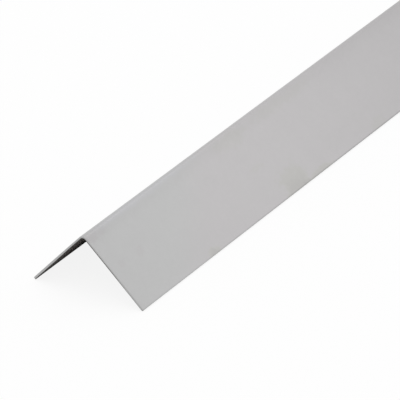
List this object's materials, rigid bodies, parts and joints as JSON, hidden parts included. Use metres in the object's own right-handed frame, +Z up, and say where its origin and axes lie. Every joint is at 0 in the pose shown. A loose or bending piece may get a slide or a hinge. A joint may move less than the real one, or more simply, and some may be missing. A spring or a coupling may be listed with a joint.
{
  "type": "metal angle section",
  "caption": "Equal-leg angle folded from thin sheet, a straight length of stock with square-cut ends and rounded leg corners, used to cover, edge or join at a right angle.",
  "frame": {"origin": "on the floor, midway between the two toes and midway along the length", "axes": "+Z up through the bend, +Y along the stock, +X across it; the angle stands on its toes with the bend uppermost"},
  "size_m": [0.0564, 1, 0.0279],
  "materials": {
    "satin_metal": "satin, fine cold-rolled matt"
  },
  "bodies": {
    "root": {"angle_section": "satin_metal"}
  },
  "joints": []
}
